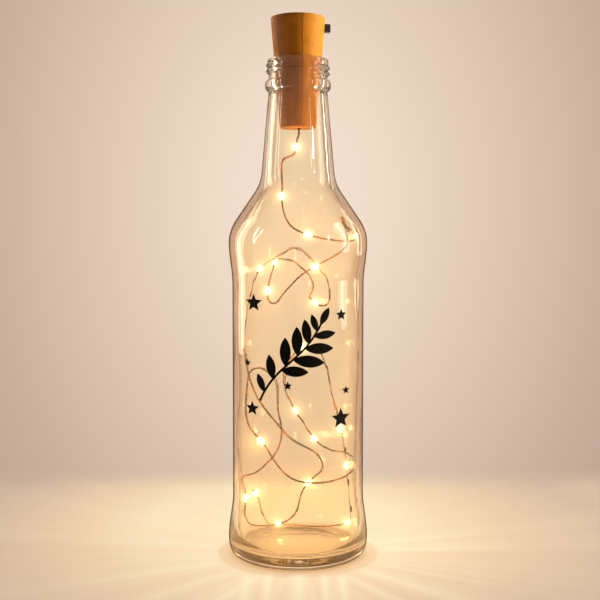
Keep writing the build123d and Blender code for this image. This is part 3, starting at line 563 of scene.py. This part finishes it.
def outside_place(radius, height, angle):
    """Radius and height on the outside, with the thread on the finish and knurls under the heel."""
    place_radius, place_height = radius, height
    if bead_top < height < lip_top - LIP_ROUND / 2:
        place_radius = max(radius, FINISH_RADIUS + thread_rise(angle, height))
    if 0 < height < KNURL_REACH and radius > bearing_in - KNURL_REACH:
        crest = 0.5 + 0.5 * math.cos(KNURLS * angle)
        knurl = KNURL_DEPTH * crest * (KNURL_REACH - height) / KNURL_REACH
        place_height += knurl
        place_radius -= knurl / 2
    return place_radius, place_height


def inside_radius(radius, height, angle):
    """Radius on the inside, which is slightly wavy between the floor and the neck."""
    if FLOOR_HEIGHT * 2 < height < neck_bottom:
        wave = sum(share * math.sin(turns * angle + height * rate + start)
                   for turns, rate, start, share in WAVES)
        return radius + WAVE_DEPTH * wave / WAVE_PEAK
    return radius


def make_bottle():
    outer, inner = outer_outline(), inner_outline()
    profile = outer + inner
    segments = BOTTLE_SEGMENTS
    vertices = [(0, 0, profile[0][1])]
    rings = []
    for index, (radius, height) in enumerate(profile[1:-1], start=1):
        ring = []
        for step in range(segments):
            angle = 2 * math.pi * step / segments
            if index < len(outer):
                r, z = outside_place(radius, height, angle)
            else:
                r, z = inside_radius(radius, height, angle), height
            ring.append(len(vertices))
            vertices.append((r * math.cos(angle), r * math.sin(angle), z))
        rings.append(ring)
    top = len(vertices)
    vertices.append((0, 0, profile[-1][1]))
    faces = []
    for step in range(segments):
        after = (step + 1) % segments
        faces.append((0, rings[0][after], rings[0][step]))
        faces.append((top, rings[-1][step], rings[-1][after]))
        for low, high in zip(rings, rings[1:]):
            faces.append((low[step], low[after], high[after], high[step]))
    bottle = add_mesh("glass_bottle", vertices, faces, GLASS)
    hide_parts("bottle")
    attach(bottle, "bottle")


make_bottle()


# The seam of the cork's two halves, a fine flash line down its front and back
STOPPER_TIP = 182.9 * MM
STOPPER_LENGTH = 46.7 * MM
STOPPER_TIP_RADIUS = 7.8 * MM
STOPPER_TOP_RADIUS = 11.6 * MM
STOPPER_RIM = 0.6 * MM
SEAM_TURN = math.radians(12)
SEAM_WIDTH = 0.34 * MM
SEAM_PROUD = 0.1 * MM


def make_seam():
    vertices, faces = [], []
    for turn in (SEAM_TURN - math.pi / 2, SEAM_TURN + math.pi / 2):
        out = Vector((math.cos(turn), math.sin(turn), 0))
        along = Vector((-math.sin(turn), math.cos(turn), 0))
        first = len(vertices)
        for height in (STOPPER_RIM, STOPPER_LENGTH - STOPPER_RIM):
            share = height / STOPPER_LENGTH
            radius = STOPPER_TIP_RADIUS + share * (STOPPER_TOP_RADIUS - STOPPER_TIP_RADIUS)
            base = Vector((0, 0, STOPPER_TIP + height))
            vertices.append(base + out * (radius - SEAM_PROUD) - along * SEAM_WIDTH / 2)
            vertices.append(base + out * (radius + SEAM_PROUD))
            vertices.append(base + out * (radius - SEAM_PROUD) + along * SEAM_WIDTH / 2)
        for a, b in ((0, 1), (1, 2), (2, 0)):
            faces.append((first + a, first + b, first + b + 3, first + a + 3))
        faces += [(first + 2, first + 1, first), (first + 3, first + 4, first + 5)]
    seam = add_mesh("cork_seam", vertices, faces, CORK, smooth=False)
    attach(seam, "stopper")


make_seam()


# The light string: one smooth line through the route, dressed as a twisted pair
STRAND_RADIUS = 0.2 * MM
STRAND_OFFSET = 0.24 * MM
TWIST_PITCH = 3.8 * MM
STRAND_SIDES = 8
STRAND_STEP = 0.45 * MM
CURVE_STEPS = 24
# Where the pair opens up along its length, and how its twist hurries and lags
SLACK = 0.9
SLACK_RATES = (71, 113)
SLACK_START = 1
SLACK_LIMIT = 0.9
TWIST_LAG = 0.8
TWIST_LAG_RATE = 190


def route_line():
    """The points of the smooth line that has the route's points as its control points."""
    curve = bpy.data.curves.new("string_route", "CURVE")
    curve.dimensions = "3D"
    curve.resolution_u = CURVE_STEPS
    spline = curve.splines.new("NURBS")
    spline.points.add(len(ROUTE) - 1)
    for point, place in zip(spline.points, ROUTE):
        point.co = (*place, 1)
    spline.order_u = 3
    spline.use_endpoint_u = True
    holder = bpy.data.objects.new("string_route", curve)
    scene.collection.objects.link(holder)
    bpy.context.view_layer.update()
    mesh = bpy.data.meshes.new_from_object(holder)
    points = np.array([vertex.co for vertex in mesh.vertices])
    bpy.data.objects.remove(holder)
    return points


def even_points(points, step):
    lengths = np.linalg.norm(np.diff(points, axis=0), axis=1)
    along = np.concatenate([[0], np.cumsum(lengths)])
    marks = np.linspace(0, along[-1], int(along[-1] / step) + 1)
    return np.column_stack([np.interp(marks, along, points[:, axis]) for axis in range(3)])


def carried_frames(points):
    """Two side directions that are carried along a line without twist."""
    tangents = np.gradient(points, axis=0)
    tangents /= np.linalg.norm(tangents, axis=1)[:, None]
    side = Vector(tangents[0]).orthogonal().normalized()
    firsts, seconds = [], []
    for tangent in tangents:
        t = Vector(tangent)
        side = (side - t * side.dot(t)).normalized()
        firsts.append(np.array(side))
        seconds.append(np.array(t.cross(side)))
    return np.array(firsts), np.array(seconds)


def tube(points, radius, sides):
    """Vertices and faces of a round closed tube along the points."""
    firsts, seconds = carried_frames(points)
    vertices, faces = [], []
    for place, first, second in zip(points, firsts, seconds):
        for side in range(sides):
            angle = 2 * math.pi * side / sides
            vertices.append(place + radius * (math.cos(angle) * first + math.sin(angle) * second))
    for ring in range(len(points) - 1):
        for side in range(sides):
            after = (side + 1) % sides
            a, b = ring * sides + side, ring * sides + after
            faces.append((a, b, b + sides, a + sides))
    faces.append(tuple(range(sides))[::-1])
    faces.append(tuple((len(points) - 1) * sides + side for side in range(sides)))
    return vertices, faces


def make_string():
    line = even_points(route_line(), STRAND_STEP)
    firsts, seconds = carried_frames(line)
    along = np.arange(len(line)) * STRAND_STEP
    slow, quick = SLACK_RATES
    swing = np.sin(along * slow) + np.sin(along * quick + SLACK_START)
    slack = 1 + SLACK * np.clip(swing - SLACK_LIMIT, 0, 1)
    vertices, faces = [], []
    for phase in (0, math.pi):
        lag = TWIST_LAG * np.sin(along * TWIST_LAG_RATE)
        angle = 2 * math.pi * along / TWIST_PITCH + lag + phase
        offset = STRAND_OFFSET * slack
        strand = line + (offset * np.cos(angle))[:, None] * firsts
        strand += (offset * np.sin(angle))[:, None] * seconds
        strand_vertices, strand_faces = tube(strand, STRAND_RADIUS, STRAND_SIDES)
        start = len(vertices)
        vertices += list(strand_vertices)
        faces += [tuple(start + index for index in face) for face in strand_faces]
    string = add_mesh("light_string", vertices, faces, COPPER)
    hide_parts("drop_wire", "neck_wire", "light_wire")
    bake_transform(string)
    return string, line


string, string_line = make_string()


# The lamps: a resin drop round each chip, with a little light at its middle
DROP_LENGTH = 3.8 * MM
DROP_RADIUS = 1.12 * MM
DROP_RINGS = 20
DROP_SIDES = 20
DROP_LEAN = 0.25
DROP_SWELL = (0.9, 1.08)
DROP_FULLNESS = 0.75
DROP_TIP_SHARE = 0.16
LAMP_POWER = 0.010
LAMP_SIZE = 0.4 * MM
LAMP_GAP = 0.6 * MM
LAMP_COLOR = (1.0, 0.62, 0.26)
HALO_COLOR = (1.0, 0.72, 0.27)
# Radii in millimetres and brightness of the glows round a lamp, one in another
HALOS = [
    (1.6, 0.8), (2.1, 0.6), (2.8, 0.42), (3.7, 0.26), (4.9, 0.14), (6.5, 0.07), (8.8, 0.03), (12.5, 0.012),
]


def drop_mesh(middle, axis, across, lean, swell):
    """Vertices and faces of a resin drop along an axis, fuller at one end by its lean."""
    other = axis.cross(across)
    vertices = [middle - axis * DROP_LENGTH / 2]
    for ring in range(1, DROP_RINGS):
        t = ring / DROP_RINGS
        shape = math.sin(math.pi * t) ** DROP_FULLNESS * (1 + lean * (t - 0.5)) * swell
        radius = DROP_RADIUS * min(1.0, DROP_TIP_SHARE + (1 - DROP_TIP_SHARE) * shape)
        for side in range(DROP_SIDES):
            angle = 2 * math.pi * side / DROP_SIDES
            place = middle + axis * DROP_LENGTH * (t - 0.5)
            vertices.append(place + radius * (math.cos(angle) * across + math.sin(angle) * other))
    vertices.append(middle + axis * DROP_LENGTH / 2)
    faces = []
    last = len(vertices) - 1
    for side in range(DROP_SIDES):
        after = (side + 1) % DROP_SIDES
        faces.append((0, 1 + after, 1 + side))
        faces.append((last, last - DROP_SIDES + side, last - DROP_SIDES + after))
        for ring in range(DROP_RINGS - 2):
            a, b = 1 + ring * DROP_SIDES + side, 1 + ring * DROP_SIDES + after
            faces.append((a, b, b + DROP_SIDES, a + DROP_SIDES))
    return vertices, faces


def point_light(name, place, radius, power, color, body):
    light = bpy.data.lights.new(name, "POINT")
    light.shadow_soft_size = radius
    light.energy = power
    light.color = color
    holder = bpy.data.objects.new(name, light)
    holder.location = place
    scene.collection.objects.link(holder)
    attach(holder, body)
    return holder


def make_lamp(number, run):
    start, end = ROUTE[run], ROUTE[run + 1]
    middle = (start + end) / 2
    axis = (end - start).normalized()
    across = axis.orthogonal().normalized()
    draw = random.Random(number)
    lean = draw.uniform(-DROP_LEAN, DROP_LEAN)
    swell = draw.uniform(*DROP_SWELL)
    vertices, faces = drop_mesh(middle, axis, across, lean, swell)
    body = "stopper" if number == 1 else "bottle"
    drop = add_mesh(f"lamp_drop_{number:02d}", vertices, faces, RESIN)
    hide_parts(f"led_{number:02d}")
    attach(drop, body)
    power = LAMP_POWER if number > 1 else LAMP_POWER / 4
    beside = middle + across * (DROP_RADIUS + LAMP_GAP)
    lamp = point_light(f"lamp_light_{number:02d}", beside, LAMP_SIZE, power, LAMP_COLOR, body)
    lamp.visible_camera = False
    for step, (radius, radiance) in enumerate(HALOS):
        power = radiance * (2 * math.pi * radius * MM) ** 2
        point_light(f"lamp_halo_{number:02d}_{step}", middle, radius * MM, power, HALO_COLOR, body)


for number, run in enumerate(LAMP_RUNS, start=1):
    make_lamp(number, run)


# Studio: a pale floor with painted light and shadow round the base, fading into a backdrop with a painted
# glow behind the bottle, soft lights at the sides
FLOOR_BACK = 0.16
FLOOR_FADE = 0.045
FLOOR_FRONT = -1.4
WALL_PLACE = 1.0
WALL_MIDDLE = 0.2
STUDIO_HALF = 1.6
# Looking rays see this share of the floor as emission of the painted light and shadow, at this strength;
# the rest is lit and keeps the real shadow
POOL_SHARE = 0.80
POOL_STRENGTH = 0.96
# Places and widths across the floor of the painted glints that stand for the light the base throws forward,
# in millimetres
PAINTED_GLINTS = [(-20.5, 4.5), (-12.0, 3.2), (0.3, 5.0), (10.8, 2.6), (17.8, 3.4)]


def radius_from(nodes, links, middle, scale):
    """Distance from a middle point, with each axis scaled, in the frame's own metres."""
    place = nodes.new("ShaderNodeTexCoord")
    mapping = nodes.new("ShaderNodeMapping")
    mapping.inputs["Location"].default_value = [-m * s for m, s in zip(middle, scale)]
    mapping.inputs["Scale"].default_value = scale
    length = nodes.new("ShaderNodeVectorMath")
    length.operation = "LENGTH"
    links.new(place.outputs["Object"], mapping.inputs["Vector"])
    links.new(mapping.outputs["Vector"], length.inputs[0])
    return length.outputs["Value"]


def floor_material():
    """Pale floor with a painted pool of warm light, a painted dark ring of shadow and painted streaks and
    glints round its base, where the lit bottle throws them.
    """
    material, nodes, links, output = new_material("studio_floor")
    # Painted pool of warm light round the base, dimmer and browner farther out
    pool = radius_from(nodes, links, (-0.012, 0.05, 0), (5, 4.5, 0))
    color = ramp(nodes, links, pool, [
        (0.0, (1.0, 0.84, 0.56)), (0.30, (1.0, 0.83, 0.58)), (0.45, (0.90, 0.68, 0.46)),
        (0.62, (0.74, 0.54, 0.40)), (0.80, (0.56, 0.42, 0.34)),
    ])
    # Painted shadow: darkest just round the base's edge, lighter under the base, with a grey ring beyond
    reach = radius_from(nodes, links, (0, 0, 0), (10, 10, 0))
    painted_contact_shadow = ramp(nodes, links, reach, [
        (0.0, (0.9, 0.78, 0.62)), (0.22, (0.75, 0.6, 0.42)), (0.25, (0.26, 0.17, 0.09)),
        (0.278, (0.62, 0.50, 0.40)), (0.31, (0.84, 0.76, 0.70)), (0.34, (0.88, 0.82, 0.78)),
        (0.355, (1, 1, 1)),
    ])
    shade = mix_colors(nodes, links, 1.0, "MULTIPLY")
    links.new(color, shade.inputs["A"])
    links.new(painted_contact_shadow, shade.inputs["B"])

    # Painted streaks of light radiating from the base, and painted glints in front of it
    axes = frame_axes(nodes, links)
    rays = nodes.new("ShaderNodeTexNoise")
    rays.noise_dimensions = "1D"
    rays.inputs["Scale"].default_value = 4.6
    rays.inputs["Detail"].default_value = 4
    links.new(maths(nodes, links, "ARCTAN2", axes["Y"], axes["X"]), rays.inputs["W"])
    streak = ramp(nodes, links, rays.outputs["Fac"], [(0.42, grey(0)), (0.66, grey(1))])
    fade = ramp(nodes, links, reach, [(0.33, grey(0)), (0.42, grey(0.7)), (1.1, grey(0.1))])
    share = maths(nodes, links, "MULTIPLY", streak, fade)
    near = ramp(nodes, links, maths(nodes, links, "MULTIPLY", axes["Y"], -10.0), [
        (0.29, grey(0)), (0.36, grey(1)), (0.60, grey(0.55)), (1.0, grey(0)),
    ])
    for across, width in PAINTED_GLINTS:
        off = maths(nodes, links, "ABSOLUTE", maths(nodes, links, "SUBTRACT", axes["X"], across * MM))
        beam = maths(nodes, links, "SUBTRACT", 1.0, maths(nodes, links, "DIVIDE", off, width * MM))
        beam = maths(nodes, links, "MULTIPLY", maths(nodes, links, "MAXIMUM", beam, 0.0), near)
        share = maths(nodes, links, "MAXIMUM", share, beam)
    lit = mix_colors(nodes, links, share)
    links.new(shade.outputs["Result"], lit.inputs["A"])
    lit.inputs["B"].default_value = (1.0, 0.93, 0.66, 1)

    glow = nodes.new("ShaderNodeEmission")
    glow.inputs["Strength"].default_value = POOL_STRENGTH
    links.new(lit.outputs["Result"], glow.inputs["Color"])
    plain = plain_shader(nodes, "ShaderNodeBsdfDiffuse", (0.80, 0.66, 0.54))
    looking = maths(nodes, links, "MULTIPLY", looking_ray(nodes, links), POOL_SHARE)
    lit_floor = mix_shaders(nodes, links, looking, plain, glow.outputs["Emission"])

    away = maths(nodes, links, "SUBTRACT", axes["Y"], FLOOR_BACK - FLOOR_FADE)
    faded = maths(nodes, links, "DIVIDE", away, FLOOR_FADE)
    gone = ramp(nodes, links, faded, [(0.0, grey(0)), (1.0, grey(1))])
    clear = plain_shader(nodes, "ShaderNodeBsdfTransparent", (1, 1, 1))
    links.new(mix_shaders(nodes, links, gone, lit_floor, clear), output.inputs["Surface"])
    return material


def wall_material():
    """A painted glow of light on the backdrop, brightest behind the bottle and darker outward, shown as it
    is to every looking ray.
    """
    material, nodes, links, output = new_material("studio_wall")
    reach = radius_from(nodes, links, (0, 0, WALL_MIDDLE), (1, 0, 0.72))
    color = ramp(nodes, links, reach, [
        (0.0, (0.90, 0.75, 0.62)), (0.12, (0.87, 0.71, 0.58)), (0.25, (0.76, 0.60, 0.48)),
        (0.42, (0.61, 0.46, 0.36)), (0.56, (0.51, 0.36, 0.285)),
    ])
    glow = nodes.new("ShaderNodeEmission")
    links.new(color, glow.inputs["Color"])
    plain = nodes.new("ShaderNodeBsdfDiffuse")
    links.new(color, plain.inputs["Color"])
    looking = looking_ray(nodes, links)
    shown = mix_shaders(nodes, links, looking, plain.outputs["BSDF"], glow.outputs["Emission"])
    links.new(shown, output.inputs["Surface"])
    return material


def make_studio():
    half = STUDIO_HALF
    floor_corners = [
        (-half, FLOOR_FRONT, 0), (half, FLOOR_FRONT, 0), (half, FLOOR_BACK, 0), (-half, FLOOR_BACK, 0),
    ]
    wall_corners = [
        (-half, WALL_PLACE, -half), (half, WALL_PLACE, -half),
        (half, WALL_PLACE, half), (-half, WALL_PLACE, half),
    ]
    floor = add_mesh("floor", floor_corners, [(0, 1, 2, 3)], floor_material())
    wall = add_mesh("backdrop", wall_corners, [(0, 3, 2, 1)], wall_material())


# A mirrored light isn't seen through more surfaces of glass than this
GLASS_SURFACES = 2.5
AIM = (0, 0, 0.15)
LOW_AIM = (0, 0, 0.12)
SPARKLE_AIM = (0, 0, 0.14)
SPARKLE_PLACE = (0.40, -0.34, 0.20)
SPARKLE_STEP = (0.02, 0, 0.06)
SPARKLES = 3


def area_light(name, place, target, size, power, color=(1, 1, 1), mirrored=False):
    """A soft light: either it lights the surfaces, or it is mirrored and only shows as a highlight."""
    light = bpy.data.lights.new(name, "AREA")
    light.shape = "RECTANGLE"
    light.size, light.size_y = size
    light.energy = power
    light.color = color
    holder = bpy.data.objects.new(name, light)
    holder.location = place
    direction = Vector(target) - Vector(place)
    holder.rotation_euler = direction.to_track_quat("-Z", "Y").to_euler()
    holder.visible_camera = False
    holder.visible_diffuse = not mirrored
    holder.visible_glossy = mirrored
    holder.visible_transmission = mirrored
    scene.collection.objects.link(holder)
    if mirrored:
        light.use_nodes = True
        nodes, links = light.node_tree.nodes, light.node_tree.links
        path = nodes.new("ShaderNodeLightPath")
        shallow = maths(nodes, links, "LESS_THAN", path.outputs["Transmission Depth"], GLASS_SURFACES)
        strength = maths(nodes, links, "MULTIPLY", unscattered_ray(nodes, links), shallow)
        links.new(strength, nodes["Emission"].inputs["Strength"])


def make_lights():
    area_light("key_right", (0.62, 0.02, 0.33), AIM, (0.3, 0.6), 11.0, (1.0, 0.90, 0.62))
    area_light("rim_left", (-0.52, 0.5, 0.3), AIM, (0.25, 0.6), 4.0, (1.0, 0.86, 0.62))
    area_light("soft_right", (0.62, -0.05, 0.33), AIM, (0.16, 0.6), 1.2, (1.0, 0.93, 0.8), mirrored=True)
    area_light("soft_left", (-0.6, 0.3, 0.3), AIM, (0.2, 0.6), 1.5, (1.0, 0.84, 0.6), mirrored=True)
    area_light("strip_left", (-0.50, -0.12, 0.30), LOW_AIM, (0.03, 0.36), 0.35, mirrored=True)
    area_light("strip_back", (0.55, 0.42, 0.30), LOW_AIM, (0.07, 0.5), 0.3, (1.0, 0.9, 0.7), mirrored=True)
    for step in range(SPARKLES):
        place = tuple(first + along * step for first, along in zip(SPARKLE_PLACE, SPARKLE_STEP))
        area_light(f"sparkle_{step}", place, SPARKLE_AIM, (0.022, 0.035), 0.12, mirrored=True)


def make_world():
    """A faint warm light all round, which every looking ray sees as pale as the far backdrop."""
    world = bpy.data.worlds.new("world")
    world.use_nodes = True
    nodes, links = world.node_tree.nodes, world.node_tree.links
    nodes.clear()
    output = nodes.new("ShaderNodeOutputWorld")
    faint = nodes.new("ShaderNodeBackground")
    faint.inputs["Color"].default_value = (0.30, 0.19, 0.11, 1)
    faint.inputs["Strength"].default_value = 0.13
    pale = plain_shader(nodes, "ShaderNodeBackground", (0.51, 0.37, 0.29))
    seen = mix_shaders(nodes, links, looking_ray(nodes, links), faint.outputs["Background"], pale)
    links.new(seen, output.inputs["Surface"])
    scene.world = world


make_studio()
make_lights()
make_world()
